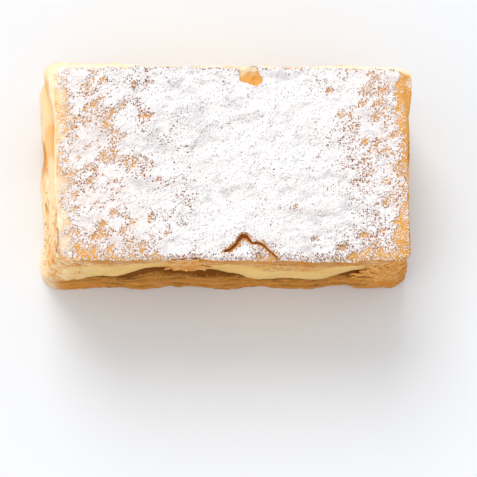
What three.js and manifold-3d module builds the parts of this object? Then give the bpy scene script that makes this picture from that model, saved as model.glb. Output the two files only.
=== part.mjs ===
// A slice of mille feuille: two sheets of puff pastry with one thick layer of custard cream between them.
// Millimetres, +Z up. X runs along the slice and -Y is the front cut. The slice rests on the flat underside of
// its base sheet, and the origin is the centre of its footprint.

import * as THREE from "three";
import { mergeVertices } from "three/addons/utils/BufferGeometryUtils.js";
import Module from "manifold-3d";

const wasm = await Module();
wasm.setup();

// Driving dimensions
const topLength = 110.6;
const topWidth = 62.8;
const baseLength = 116;
const baseWidth = 64.4;
const creamLength = 112.4;
const creamWidth = 60;
const sliceHeight = 38;
const baseThickness = 11.5;
const topThickness = 6.5;
const layerGap = 0.35;

const topCornerRadius = 3.6;
const baseCornerRadius = 4;
const creamCornerRadius = 6;

// How far the upper edge of the base sheet stands back from its lower edge, at the ends and at the cuts
const baseEndLean = 1.3;
const baseCutLean = 1.8;
// How far the cream swells out at half its height
const creamSwell = 0.7;
// How far the top sheet sags from its middle to its rim, and how much its upper rim is rounded in
const topSag = 0.6;
const topRimRounding = 0.4;
// How far the top sheet has slid towards the back
const topSlide = 0.4;

// Cream squeezed out at the left back corner, which carries the under side of the top sheet out with it
const squeezedCorner = [-56, 30];
const squeezeOut = 2.6;
const squeezeReach = 13;
// The right end of the top sheet stands out most near its back corner
const stretchedCorner = [56, 26];
const stretchOut = 2.3;
const stretchReach = 13;
// The front cut of the top sheet swells forward where the sheet has cracked
const frontSwell = 0.9;
const frontSwellMiddle = 24;
const frontSwellReach = 16;

// The crack at the front of the top sheet, along its middle, and the broken hollow in its back edge
const crackPath = [
  [-3.8, -28.4],
  [-0.2, -26.9],
  [1.6, -25.4],
  [3, -23.5],
  [4.8, -25.2],
  [6.7, -25.4],
  [9.5, -28.2],
  [14.5, -33],
];
const crackWidth = 0.9;
const crackDepth = 2.6;
const chipCentre = [5, 30];
const chipRadii = [3.4, 4.6, 1.9];

// The surfaces where the layers meet are made of these waves: [height, wavelength, phase].
const frontHills = [
  [3.2, 72, 4.07],
  [0.9, 21.5, 5.76],
];
const topHills = [
  [0.6, 61, 1.2],
  [0.5, 25, 2.6],
];
const crustWaves = [
  [0.3, 52, 1],
  [0.2, 23, 2.2],
];
const baseWander = [
  [0.45, 25, 2.58],
  [0.12, 14, 2.1],
];
const topWander = [
  [0.3, 37, 0.8],
  [0.12, 14, 2.1],
];
const creamWander = [
  [1.4, 72, -0.12],
  [0.3, 21.5, -0.89],
];

function wave(t, terms) {
  return terms.reduce(
    (sum, [amount, length, phase]) =>
      sum + amount * Math.sin((2 * Math.PI * t) / length + phase),
    0,
  );
}

const baseTopAt = (x, y) => baseThickness + wave(x + 0.4 * y, frontHills);
const topUnderAt = (x, y) => sliceHeight - topThickness + wave(x - 0.5 * y, topHills);
const topSurfaceAt = (x, y) =>
  sliceHeight -
  topSag * ((2 * x) / topLength) ** 4 -
  topSag * ((2 * y) / topWidth) ** 4 +
  wave(x + y, crustWaves);

function bulgeAt(x, y, [cornerX, cornerY], out, reach) {
  return out * Math.exp(-((Math.hypot(x - cornerX, y - cornerY) / reach) ** 2));
}

const squeezeAt = (x, y) => bulgeAt(x, y, squeezedCorner, squeezeOut, squeezeReach);

// Pulls the corner of a rectangle in to a quarter circle, and keeps everything inside it evenly spread.
function roundedCorner(x, y, halfLength, halfWidth, radius) {
  const overX = Math.abs(x) - (halfLength - radius);
  const overY = Math.abs(y) - (halfWidth - radius);
  if (overX <= 0 || overY <= 0) return [x, y];
  const a = overX / radius;
  const b = overY / radius;
  const roundX = halfLength - radius + radius * a * Math.sqrt(1 - (b * b) / 2);
  const roundY = halfWidth - radius + radius * b * Math.sqrt(1 - (a * a) / 2);
  return [Math.sign(x) * roundX, Math.sign(y) * roundY];
}

// One layer of the slice: a block of cells with rounded corners, whose under side and upper side follow height
// functions, and whose sides move out by outAt(x, y, level, isEnd), with level from -1 at the bottom to 1 at the top.
// The whole layer slides back by slide.
function layerGeometry({ length, width, radius, cells, slide = 0, underAt, upperAt, outAt }) {
  const geometry = new THREE.BoxGeometry(2, 2, 2, ...cells);
  geometry.deleteAttribute("normal");
  geometry.deleteAttribute("uv");
  const points = geometry.attributes.position;
  const rimSharpness = 6;
  for (let i = 0; i < points.count; i++) {
    const u = points.getX(i);
    const v = points.getY(i);
    const level = points.getZ(i);
    const [x, y] = roundedCorner((u * length) / 2, (v * width) / 2, length / 2, width / 2, radius);
    const movedX = x + Math.sign(u) * Math.abs(u) ** rimSharpness * outAt(x, y, level, true);
    const outY = Math.sign(v) * Math.abs(v) ** rimSharpness * outAt(x, y, level, false);
    const movedY = y + outY + slide;
    const under = underAt(movedX, movedY);
    const z = under + ((level + 1) / 2) * (upperAt(movedX, movedY) - under);
    points.setXYZ(i, movedX, movedY, z);
  }
  return mergeVertices(geometry);
}

function solidOf(geometry) {
  const bare = geometry.clone();
  bare.deleteAttribute("normal");
  bare.deleteAttribute("uv");
  const merged = mergeVertices(bare);
  return new wasm.Manifold(
    new wasm.Mesh({
      numProp: 3,
      vertProperties: merged.attributes.position.array,
      triVerts: new Uint32Array(merged.index.array),
    }),
  );
}

function geometryOf(solid) {
  const mesh = solid.getMesh();
  return new THREE.BufferGeometry()
    .setAttribute("position", new THREE.BufferAttribute(mesh.vertProperties, 3))
    .setIndex(new THREE.BufferAttribute(mesh.triVerts, 1));
}

function baseSheet() {
  return layerGeometry({
    length: baseLength,
    width: baseWidth,
    radius: baseCornerRadius,
    cells: [34, 18, 3],
    underAt: () => 0,
    upperAt: baseTopAt,
    outAt: (x, y, level, isEnd) => {
      const lean = isEnd ? baseEndLean : baseCutLean;
      const along = isEnd ? y : x;
      return wave(along + 4 * level, baseWander) - (lean * (level + 1)) / 2;
    },
  });
}

function creamLayer() {
  return layerGeometry({
    length: creamLength,
    width: creamWidth,
    radius: creamCornerRadius,
    cells: [28, 15, 5],
    underAt: (x, y) => baseTopAt(x, y) + layerGap,
    upperAt: (x, y) => topUnderAt(x, y) - layerGap,
    outAt: (x, y, level, isEnd) => {
      const wander = isEnd ? 0.4 * wave(y, creamWander) : wave(x * Math.sign(-y), creamWander);
      return wander + creamSwell * (1 - level * level) + squeezeAt(x, y);
    },
  });
}

// The crack is a narrow winding slot that closes to a point at its left end and opens through the front edge.
function crackCutter() {
  const last = crackPath.length - 1;
  const halfWidthAt = (i) => (crackWidth / 2) * Math.min(1, 0.15 + (2.5 * i) / last);
  const upper = crackPath.map(([x, y], i) => new THREE.Vector2(x, y + halfWidthAt(i)));
  const lower = crackPath.map(([x, y], i) => new THREE.Vector2(x, y - halfWidthAt(i)));
  const outline = new THREE.Shape([...lower, ...upper.reverse()]);
  const clearance = 3;
  return new THREE.ExtrudeGeometry(outline, {
    depth: crackDepth + clearance,
    bevelEnabled: false,
  }).translate(0, 0, sliceHeight - crackDepth);
}

function chipCutter() {
  return new THREE.SphereGeometry(1, 14, 10)
    .scale(...chipRadii)
    .translate(...chipCentre, topSurfaceAt(...chipCentre));
}

function topSheet() {
  const whole = layerGeometry({
    length: topLength,
    width: topWidth,
    radius: topCornerRadius,
    cells: [34, 18, 3],
    slide: topSlide,
    underAt: topUnderAt,
    upperAt: topSurfaceAt,
    outAt: (x, y, level, isEnd) => {
      const wander = wave((isEnd ? y : x) + 7 - 3 * level, topWander);
      const rounding = topRimRounding * Math.max(0, level) ** 2;
      const pressed = squeezeAt(x, y) * (0.45 - 0.25 * level);
      const stretch = bulgeAt(x, y, stretchedCorner, stretchOut, stretchReach);
      if (isEnd) return wander - rounding + pressed + 0.5 * squeezeAt(x, y) + stretch;
      const swell = y < 0 ? frontSwell * Math.exp(-(((x - frontSwellMiddle) / frontSwellReach) ** 2)) : 0;
      return wander - rounding + pressed + swell;
    },
  });
  const cracked = solidOf(whole).subtract(solidOf(crackCutter())).subtract(solidOf(chipCutter()));
  return geometryOf(cracked);
}

function layerMesh(name, geometry, colour, roughness) {
  const material = new THREE.MeshStandardMaterial({ color: colour, roughness, metalness: 0 });
  const mesh = new THREE.Mesh(geometry, material);
  mesh.name = name;
  return mesh;
}

const slice = new THREE.Group();
slice.name = "mille_feuille_slice";
slice.add(
  layerMesh("base_pastry", baseSheet(), 0xc98f4a, 0.75),
  layerMesh("custard_cream", creamLayer(), 0xf3e2b0, 0.45),
  layerMesh("top_pastry", topSheet(), 0xd9a25a, 0.7),
);

// The irregular cuts leave the block a little off centre, so the whole is moved back over the origin.
const block = new THREE.Box3().setFromObject(slice);
const middle = block.getCenter(new THREE.Vector3());
slice.position.set(-middle.x, -middle.y, -block.min.z);

export default slice;
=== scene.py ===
"""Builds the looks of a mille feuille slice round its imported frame.

The slice is two stacks of thin baked pastry leaves with a thick layer of custard cream between them, and a
blanket of icing sugar on top. Every piece is laid out in millimetres by the same waves that shape the
solids of the frame, and is turned into metres as it is made.
"""

import math
from collections import namedtuple

import bpy
import numpy as np
from bpy.props import FloatProperty, FloatVectorProperty, IntProperty, PointerProperty
from mathutils import Matrix, Vector, noise


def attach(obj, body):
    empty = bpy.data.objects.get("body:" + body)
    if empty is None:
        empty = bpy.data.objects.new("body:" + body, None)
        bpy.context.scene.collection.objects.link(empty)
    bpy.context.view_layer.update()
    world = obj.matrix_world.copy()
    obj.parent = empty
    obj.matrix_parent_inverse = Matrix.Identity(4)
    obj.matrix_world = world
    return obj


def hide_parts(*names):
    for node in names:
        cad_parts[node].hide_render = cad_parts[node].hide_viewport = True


bl_info = {
    "name": "Mille feuille slice",
    "version": (1, 0, 0),
    "blender": (4, 5, 0),
    "location": "3D View > Sidebar > Slice",
    "description": "Makes the pastry leaves, cream, icing sugar and stage of a mille feuille slice",
    "category": "Add Mesh",
}

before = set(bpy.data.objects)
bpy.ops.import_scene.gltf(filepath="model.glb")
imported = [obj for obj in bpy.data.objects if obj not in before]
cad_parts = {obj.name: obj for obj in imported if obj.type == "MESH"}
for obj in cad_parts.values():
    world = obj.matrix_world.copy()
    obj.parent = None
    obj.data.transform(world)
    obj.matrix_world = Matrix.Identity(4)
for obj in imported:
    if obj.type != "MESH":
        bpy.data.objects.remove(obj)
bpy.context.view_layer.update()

MM = 0.001

# The slice's driving dimensions, as in the frame's solids. All sizes are in millimetres, and times MM they
# are in metres.
SLICE_HEIGHT = 38
BASE_THICKNESS = 11.5
TOP_THICKNESS = 6.5
TOP_SAG = 0.6
TOP_SLIDE = 0.4
TOP_RIM_ROUNDING = 0.4
BASE_END_LEAN = 1.3
BASE_CUT_LEAN = 1.8
CREAM_SWELL = 0.7
SQUEEZED_CORNER = (-56, 30)
SQUEEZE_OUT = 2.6
SQUEEZE_REACH = 13
STRETCHED_CORNER = (56, 26)
STRETCH_OUT = 2.3
STRETCH_REACH = 13
FRONT_SWELL = 0.9
FRONT_SWELL_MIDDLE = 24
FRONT_SWELL_REACH = 16
RIM_SHARPNESS = 6

# Waves are (height, wavelength, phase).
FRONT_HILLS = ((3.2, 72, 4.07), (0.9, 21.5, 5.76))
TOP_HILLS = ((0.6, 61, 1.2), (0.5, 25, 2.6))
CRUST_WAVES = ((0.3, 52, 1), (0.2, 23, 2.2))
BASE_WANDER = ((0.45, 25, 2.58), (0.12, 14, 2.1))
TOP_WANDER = ((0.3, 37, 0.8), (0.12, 14, 2.1))
CREAM_WANDER = ((1.4, 72, -0.12), (0.3, 21.5, -0.89))

# The crack at the front of the crust, along its middle, and half its width at each of those points.
CRACK_PATH = (
    (-3.4, -28.1), (-1.9, -27.7), (-0.7, -26.9), (0.6, -25.9), (1.4, -24.5), (2.5, -23.6), (3.6, -23.6),
    (4.5, -24.6), (5.5, -25.5), (7.0, -25.4), (8.6, -26.1), (10.9, -28.2), (13.1, -30.2), (15.4, -32.6),
)
CRACK_REACH = (0.35, 0.5, 0.55, 0.65, 0.9, 1.0, 0.8, 0.42, 0.34, 0.46, 0.42, 0.3, 0.22, 0.16)
CRACK_STEP = 0.6
CRACK_VOXEL = 0.16

# The broken hollow in the back edge of the crust.
CHIP_OUTLINE = ((2.6, 30.8), (2.9, 26.8), (7.8, 25.0), (9.5, 26.3), (7.5, 30.8))

# Places where the sugar has fallen off or was never thick, as (x, y, reach) on the top.
BARE_PLACES = (
    (-52.6, 15, 1.8), (-51.4, 17.6, 1.5), (-53.8, 21.4, 2.2), (-53, -5.6, 2), (-50.4, -3.8, 1.9),
    (-52.2, -8.9, 1.3), (-49.8, -10.5, 1.3), (-54.1, -16.8, 2.4), (-52.3, -19.3, 1.9), (-50.5, -21.5, 1.5),
    (-53, -25.6, 2.4), (-48.1, -26.2, 2), (-43.5, -27.8, 2.2), (-38.8, -27.2, 1.8), (-49.4, -14.4, 1.4),
    (-46, 17.2, 1.4), (-43.2, 18.4, 1.2), (-41.4, 20.3, 1), (-48.8, 13.9, 1.3), (-43.4, -23.6, 1.4),
    (-37.6, -16.2, 1.3), (-41.2, -19.2, 1.3), (-34.4, -21.4, 1.3), (-44.6, -5.4, 1.2), (-45.3, 4.8, 0.9),
    (-40.4, 1.8, 1.2), (-38.6, 1, 1.3), (-39.4, 13.8, 1.2), (-37.4, 16.8, 1.4), (-34.6, 18, 1.1),
    (-28.4, 15.4, 1.2), (-26, 14.8, 1.4), (-30.6, 25, 1.5), (-26.2, 25.8, 1.5), (-40.6, 26.6, 1.1),
    (-31, -0.4, 1), (-24, -5.8, 0.9), (-21, -22.4, 1.1), (34.2, 15.6, 1.4), (41.2, 19.4, 1.4),
    (45, 15, 1.6), (48.2, 23.6, 1.6), (53.4, 18, 2.4), (54, 23.4, 2.2), (53.6, 13, 2), (41.6, 6.8, 1.5),
    (51.2, 9.4, 1.3), (53, -0.4, 2), (48.4, -5.8, 1.4), (48.3, -11.6, 2), (53.8, -15.8, 2.2),
    (50.3, -18.8, 1.3), (51.9, -23.6, 2.2), (46, -21.6, 1.2), (40.4, -22.9, 1.6), (33.3, -27.2, 1.8),
    (40.9, -28.4, 1.5), (45, -27.8, 1.6), (36.8, -29.4, 1.4), (30.6, 23.2, 1.1), (18.8, -14, 1),
    (24.8, -24.4, 1), (9.4, -30.2, 1.2),
)


def paint(red, green, blue):
    """A screen colour, 0 to 255, as the linear colour that Blender's sockets hold."""
    channels = (red / 255, green / 255, blue / 255)
    return tuple(c / 12.92 if c <= 0.04045 else ((c + 0.055) / 1.055) ** 2.4 for c in channels)


# ---------------------------------------------------------------- settings


def length_setting(name, description, default):
    return FloatProperty(name=name, description=description, default=default, unit="LENGTH")


def count_setting(name, description, default, least=0):
    return IntProperty(name=name, description=description, default=default, min=least)


def colour_setting(name, description, *screen_colour):
    return FloatVectorProperty(
        name=name, description=description, default=paint(*screen_colour), size=3, subtype="COLOR"
    )


class PastrySettings(bpy.types.PropertyGroup):
    """How the two pastry sheets are leafed."""

    base_leaves: count_setting("Base leaves", "Leaves in the base sheet", 18, 4)
    top_leaves: count_setting("Top leaves", "Leaves under the crust of the top sheet", 9, 3)
    step: length_setting("Step", "Distance between points round the rim of a leaf", 0.5 * MM)
    ragged: length_setting("Ragged", "How far the rims stand in and out", 0.5 * MM)
    curl: length_setting("Curl", "How far the rims curl up and down", 0.3 * MM)
    crust_thickness: length_setting("Crust", "Thickness of the upper crust", 1.5 * MM)
    pale: colour_setting("Pale", "Underbaked leaf", 254, 237, 203)
    golden: colour_setting("Golden", "Golden leaf", 231, 167, 80)
    browned: colour_setting("Browned", "Well baked leaf", 132, 80, 20)
    burnt_and_shaded: colour_setting("Burnt_and_shaded", "Inside of the crack", 160, 82, 26)


class CreamSettings(bpy.types.PropertyGroup):
    """The custard cream."""

    step: length_setting("Step", "Distance between points on its sides", 0.5 * MM)
    ripple: length_setting("Ripple", "Height of the knife's ripples", 0.35 * MM)
    bubbles: count_setting("Bubbles", "Opened air bubbles", 90)
    colour: colour_setting("Colour", "Custard cream", 245, 205, 124)
    end_colour: colour_setting("End colour", "The cream's skin at the left end", 251, 220, 172)


class SugarSettings(bpy.types.PropertyGroup):
    """The icing sugar."""

    step: length_setting("Step", "Distance between points of the blanket", 0.28 * MM)
    depth: length_setting("Depth", "Depth of the blanket in its middle", 0.8 * MM)
    grains: count_setting("Grains", "Loose grains", 9500)
    colour: colour_setting("Colour", "Icing sugar", 249, 247, 248)


class StageSettings(bpy.types.PropertyGroup):
    """The floor, light and camera."""

    floor_colour: colour_setting("Floor", "Colour of the floor", 237, 240, 245)
    key_strength: FloatProperty(name="Key", description="Strength of the key light", default=1.72)
    fill_strength: FloatProperty(name="Fill", description="Strength of the light all round", default=0.735)
    low_strength: FloatProperty(
        name="Low light", description="Strength of the warm light from low on the left", default=0.65
    )
    distance: length_setting("Distance", "From the lens to the crust", 900 * MM)


# ---------------------------------------------------------------- the layers' form


def wave(t, terms):
    return sum(height * np.sin(2 * math.pi * t / length + phase) for height, length, phase in terms)


def bell(t, middle, reach):
    """1 in the middle, falling smoothly to nought on both sides."""
    return np.exp(-(((t - middle) / reach) ** 2))


def base_top_at(x, y):
    return BASE_THICKNESS + wave(x + 0.4 * y, FRONT_HILLS)


def top_under_at(x, y):
    return SLICE_HEIGHT - TOP_THICKNESS + wave(x - 0.5 * y, TOP_HILLS)


def top_surface_at(x, y):
    sag = TOP_SAG * (2 * x / TOP.length) ** 4 + TOP_SAG * (2 * y / TOP.width) ** 4
    return SLICE_HEIGHT - sag + wave(x + y, CRUST_WAVES)


def bulge_at(x, y, corner, out, reach):
    return out * bell(np.hypot(x - corner[0], y - corner[1]), 0, reach)


def squeeze_at(x, y):
    return bulge_at(x, y, SQUEEZED_CORNER, SQUEEZE_OUT, SQUEEZE_REACH)


def base_out(x, y, level, is_end):
    lean = BASE_END_LEAN if is_end else BASE_CUT_LEAN
    return wave((y if is_end else x) + 4 * level, BASE_WANDER) - lean * (level + 1) / 2


def cream_out(x, y, level, is_end):
    wander = 0.4 * wave(y, CREAM_WANDER) if is_end else wave(x * np.sign(-y), CREAM_WANDER)
    return wander + CREAM_SWELL * (1 - level * level) + squeeze_at(x, y)


def top_out(x, y, level, is_end):
    wander = wave((y if is_end else x) + 7 - 3 * level, TOP_WANDER)
    rounding = TOP_RIM_ROUNDING * np.maximum(0, level) ** 2
    pressed = squeeze_at(x, y) * (0.45 - 0.25 * level)
    if is_end:
        stretch = bulge_at(x, y, STRETCHED_CORNER, STRETCH_OUT, STRETCH_REACH)
        return wander - rounding + pressed + 0.5 * squeeze_at(x, y) + stretch
    swell = FRONT_SWELL * bell(x, FRONT_SWELL_MIDDLE, FRONT_SWELL_REACH) * (y < 0)
    return wander - rounding + pressed + swell


# A layer's flat outline, how far it has slid back, the heights of its under and upper side, and how far its
# sides stand out, as in the frame's solids.
Layer = namedtuple("Layer", "length width radius slide under upper out")
BASE = Layer(116, 64.4, 4, 0, lambda x, y: 0 * x, base_top_at, base_out)
CREAM = Layer(112.4, 60, 6, 0, base_top_at, top_under_at, cream_out)
TOP = Layer(110.6, 62.8, 3.6, TOP_SLIDE, top_under_at, top_surface_at, top_out)


def lay_out(layer, x, y, share):
    """Where points of a flat outline lie in a layer, at a share of its thickness."""
    level = 2 * share - 1
    u = 2 * x / layer.length
    v = 2 * y / layer.width
    moved_x = x + np.sign(u) * np.abs(u) ** RIM_SHARPNESS * layer.out(x, y, level, True)
    moved_y = y + np.sign(v) * np.abs(v) ** RIM_SHARPNESS * layer.out(x, y, level, False) + layer.slide
    under = layer.under(moved_x, moved_y)
    z = under + share * (layer.upper(moved_x, moved_y) - under)
    return moved_x, moved_y, z


def distance_in(layer, x, y):
    """How far points lie inside the rounded outline of a layer, and the way out from them."""
    over_x = np.abs(x) - (layer.length / 2 - layer.radius)
    over_y = np.abs(y) - (layer.width / 2 - layer.radius)
    past = np.hypot(np.maximum(over_x, 0), np.maximum(over_y, 0))
    inside = layer.radius - past - np.minimum(np.maximum(over_x, over_y), 0)
    in_corner = (over_x > 0) & (over_y > 0)
    way_x = np.where(in_corner, np.maximum(over_x, 0) / np.maximum(past, 1e-6), over_x > over_y)
    way_y = np.where(in_corner, np.maximum(over_y, 0) / np.maximum(past, 1e-6), over_x <= over_y)
    return inside, way_x * np.sign(x), way_y * np.sign(y)


def places(x, y, z=0.0):
    """Points as rows of coordinates."""
    return np.column_stack(np.broadcast_arrays(x, y, z))


def unevenness(points, size, seed=0, octaves=1):
    """Smooth noise between about -1 and 1 at points. Size is one number, or one for each axis."""
    scaled = points / np.asarray(size, float)
    shift = np.array([13.7, 31.1, 7.9]) * (seed + 1)
    if octaves == 1:
        return np.array([noise.noise(Vector(p)) for p in scaled + shift])
    return np.array([noise.fractal(Vector(p), 0.9, 2.0, octaves) for p in scaled + shift])


def rough(points, *terms):
    """Noises added up, each given as (height, size, seed)."""
    return sum(height * unevenness(points, size, seed) for height, size, seed in terms)


def smooth_step(low, high, value):
    t = np.clip((value - low) / (high - low), 0, 1)
    return t * t * (3 - 2 * t)


def distance_to_crack(x, y):
    """Distance of points from the crack's middle line, and how far along it they lie, from 0 to 1."""
    nearest = np.full(len(x), 1e9)
    along = np.zeros(len(x))
    last = len(CRACK_PATH) - 1
    for i in range(last):
        start = np.array(CRACK_PATH[i])
        run = np.array(CRACK_PATH[i + 1]) - start
        t = np.clip(((x - start[0]) * run[0] + (y - start[1]) * run[1]) / (run @ run), 0, 1)
        distance = np.hypot(x - start[0] - t * run[0], y - start[1] - t * run[1])
        along = np.where(distance < nearest, (i + t) / last, along)
        nearest = np.minimum(nearest, distance)
    return nearest, along


# ---------------------------------------------------------------- mesh helpers

# Edges between faces that meet at a wider angle than this stay sharp.
SHARP_ANGLE = math.radians(48)
# Edges of an outline are at most this many steps long.
LONGEST_EDGE = 1.4


def edit_mode():
    bpy.ops.object.mode_set(mode="EDIT")


def object_mode():
    bpy.ops.object.mode_set(mode="OBJECT")


def deselect_everything():
    if bpy.context.object and bpy.context.object.mode != "OBJECT":
        object_mode()
    bpy.ops.object.select_all(action="DESELECT")


def make_active(piece):
    deselect_everything()
    piece.select_set(True)
    bpy.context.view_layer.objects.active = piece


def points_of(piece):
    """The mesh's points in millimetres."""
    flat = np.empty(len(piece.data.vertices) * 3)
    piece.data.vertices.foreach_get("co", flat)
    return flat.reshape(-1, 3) / MM


def move_points(piece, points):
    piece.data.vertices.foreach_set("co", (points * MM).ravel())
    piece.data.update()


def store_values(piece, name, values):
    attribute = piece.data.attributes.get(name) or piece.data.attributes.new(name, "FLOAT", "POINT")
    attribute.data.foreach_set("value", np.asarray(values, np.float32))


def store_weights(piece, name, weights):
    group = piece.vertex_groups.new(name=name)
    for index, weight in enumerate(np.clip(weights, 0, 1)):
        group.add([index], float(weight), "REPLACE")


def apply_modifier(piece, kind, **settings):
    """Adds a modifier of that kind, sets it up and applies it."""
    make_active(piece)
    modifier = piece.modifiers.new(kind.title(), kind)
    for name, value in settings.items():
        setattr(modifier, name, value)
    bpy.ops.object.modifier_apply(modifier=modifier.name)


def select_long_edges(mesh, longest):
    """Selects the edges longer than that, in metres, and tells whether there are any."""
    ends = np.empty(len(mesh.edges) * 2, int)
    mesh.edges.foreach_get("vertices", ends)
    points = np.empty(len(mesh.vertices) * 3)
    mesh.vertices.foreach_get("co", points)
    points = points.reshape(-1, 3)
    too_long = np.linalg.norm(points[ends[0::2]] - points[ends[1::2]], axis=1) > longest
    mesh.vertices.foreach_set("select", [False] * len(mesh.vertices))
    mesh.polygons.foreach_set("select", [False] * len(mesh.polygons))
    mesh.edges.foreach_set("select", too_long)
    return bool(too_long.any())


def add_outline(name, layer, step):
    """A flat face in the outline of a layer, with rounded corners and points a step apart round its rim."""
    deselect_everything()
    bpy.ops.mesh.primitive_plane_add(size=1)
    piece = bpy.context.object
    piece.name = name
    radius = layer.radius * MM
    edit_mode()
    bpy.ops.transform.resize(value=(layer.length * MM, layer.width * MM, 1))
    bpy.ops.mesh.bevel(offset=radius, segments=max(4, round(radius * math.pi / 2 / step)), affect="VERTICES")
    object_mode()
    while select_long_edges(piece.data, step * LONGEST_EDGE):
        edit_mode()
        bpy.ops.mesh.select_mode(type="EDGE")
        bpy.ops.mesh.subdivide(number_cuts=1)
        object_mode()
    edit_mode()
    bpy.ops.mesh.select_mode(type="FACE")
    bpy.ops.mesh.select_all(action="SELECT")
    object_mode()
    return piece


def add_rings(piece, widths):
    """Insets the face of a flat outline again and again, so that its rim has rings of those widths."""
    make_active(piece)
    edit_mode()
    for width in widths:
        bpy.ops.mesh.inset(thickness=width * MM, depth=0)
    object_mode()


def copy_of(piece, name):
    twin = piece.copy()
    twin.data = piece.data.copy()
    twin.name = name
    bpy.context.collection.objects.link(twin)
    return twin


def remove(piece):
    mesh = piece.data
    bpy.data.objects.remove(piece)
    bpy.data.meshes.remove(mesh)


def join(pieces, name):
    make_active(pieces[0])
    for piece in pieces:
        piece.select_set(True)
    bpy.ops.object.join()
    joined = bpy.context.object
    joined.name = name
    joined.data.name = name
    return joined


def finish_piece(piece, material, slot, *nodes):
    """Smooths a finished piece, gives it its material and fixes it to the slice."""
    make_active(piece)
    bpy.ops.object.shade_smooth_by_angle(angle=SHARP_ANGLE)
    piece.data.materials.clear()
    piece.data.materials.append(material)
    piece.vertex_groups.clear()
    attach(piece, "root")
    if nodes:
        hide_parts(*nodes)
    make_active(piece)
    piece.select_set(False)


# ---------------------------------------------------------------- pastry leaves

# Widths of the rings of faces inside a leaf's rim, and how far in a leaf is torn and curled.
RING_WIDTHS = (0.35, 0.55, 0.95, 1.9)
LEAF_GRIP = 4.5
# How far the rims of the leaves stand out in turn, and how brown they are in turn.
LEAF_BIAS = (0.2, -0.5, 0.45, -0.1, 0.6, -0.65, 0.1, 0.35, -0.4, 0.5, -0.2, 0.3)
LEAF_TONES = (0.62, 0.38, 0.5, 0.3, 0.56, 0.42, 0.66, 0.34, 0.48, 0.4, 0.58)
# Leaves are a little thicker than their share of a sheet, so that they touch.
BASE_OVERLAP = 1.1
TOP_OVERLAP = 1.12
# Share of the top sheet's thickness under its crust.
TOP_LEAVES_SHARE = 0.72
# How far up their share of the sheet the leaves lie, and the seed of the top sheet's first leaf.
BASE_LEAF_PLACE = 0.45
TOP_LEAF_PLACE = 0.4
TOP_SEED = 21


def lay_leaf(leaf, layer, share, seed, settings, lowest):
    """Lays a flat leaf in its layer, tears and curls its rim, and gives it its thickness and tone."""
    flat = points_of(leaf)
    x, y = flat[:, 0], flat[:, 1]
    inside, way_x, way_y = distance_in(layer, x, y)
    rim = np.clip(1 - inside / LEAF_GRIP, 0, 1)
    at_rim = places(x + way_x * inside, y + way_y * inside, share * 20.0)

    pull = rough(at_rim, (0.5, 11, seed), (0.55, 3.4, seed + 1), (0.4, 1.3, seed + 2))
    torn = smooth_step(0.22, 0.55, unevenness(at_rim, 9, seed + 3))
    even = 1 - 0.82 * smooth_step(-50, -54, x)
    tear = 1.9 if layer is TOP else 1.0
    reach = even * (settings.ragged / MM * (pull + LEAF_BIAS[seed % len(LEAF_BIAS)]) - tear * torn)
    reach += 0.35 if layer is BASE else -0.3
    reach = np.where((layer is TOP) & (x < -50), np.maximum(reach, 0.1), reach)

    moved_x, moved_y, z = lay_out(layer, x, y, share)
    curl = rough(at_rim, (0.8, 8, seed + 4), (0.5, 2.6, seed + 5))
    wrinkle = unevenness(places(x, y, z), 1.1, seed + 6)
    z = np.maximum(z + rim**1.5 * (settings.curl / MM) * curl + 0.07 * wrinkle, lowest)
    move_points(leaf, places(moved_x + way_x * reach * rim, moved_y + way_y * reach * rim, z))
    fray = unevenness(at_rim, 2.2, seed + 7)
    store_weights(leaf, "thickness", np.clip(1.08 - 0.72 * rim + 0.22 * fray * rim, 0.12, 1))
    tone = 0.7 * (LEAF_TONES[seed % len(LEAF_TONES)] - 0.48) + 0.14 * unevenness(at_rim, 5, seed + 8)
    store_values(leaf, "tone", np.clip(tone + baked_and_shaded_tone(layer, x, y, share), 0, 1))


def baked_and_shaded_tone(layer, x, y, share):
    """How brown a leaf is, from 0 to 1. The base's long sides are browner than its ends, mostly high up,
    partly from baking and partly as painted shade under the cream's overhang.
    """
    side = smooth_step(53, 40, np.abs(x)) * (y < 0) + smooth_step(49, 42, np.abs(x)) * (y >= 0)
    left = smooth_step(-52, -57, x)
    spots = 0.36 * bell(y, 9.5, 5.6) + 0.2 * bell(y, 25, 3.5)
    if layer is BASE:
        lower = 0.6 - 0.06 * smooth_step(0.5, 0, share)
        # Painted shade: the tops of the base's long sides are darkened where the cream overhangs them, on top
        # of their browning.
        return lower + side * 0.27 * smooth_step(0.55, 1, share) - (1 - side) * 0.06 + left * (spots - 0.44)
    swollen = 0.12 * bell(x, 20, 12)
    return 0.27 + swollen * (y < 0) - 0.2 * smooth_step(24, 30, y) + left * (0.6 * spots - 0.22)


def leaf_stack(name, layer, shares, seed, settings, thickest):
    """A stack of leaves at the given shares of a layer's thickness, joined into one piece."""
    template = add_outline(name + "_outline", layer, settings.step)
    add_rings(template, RING_WIDTHS)
    leaves = []
    for number, share in enumerate(shares):
        leaf = copy_of(template, f"{name}_{number}")
        lay_leaf(leaf, layer, share, seed + number, settings, thickest / 2)
        apply_modifier(leaf, "SOLIDIFY", thickness=thickest * MM, offset=0, vertex_group="thickness")
        leaves.append(leaf)
    remove(template)
    return join(leaves, name)


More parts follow.
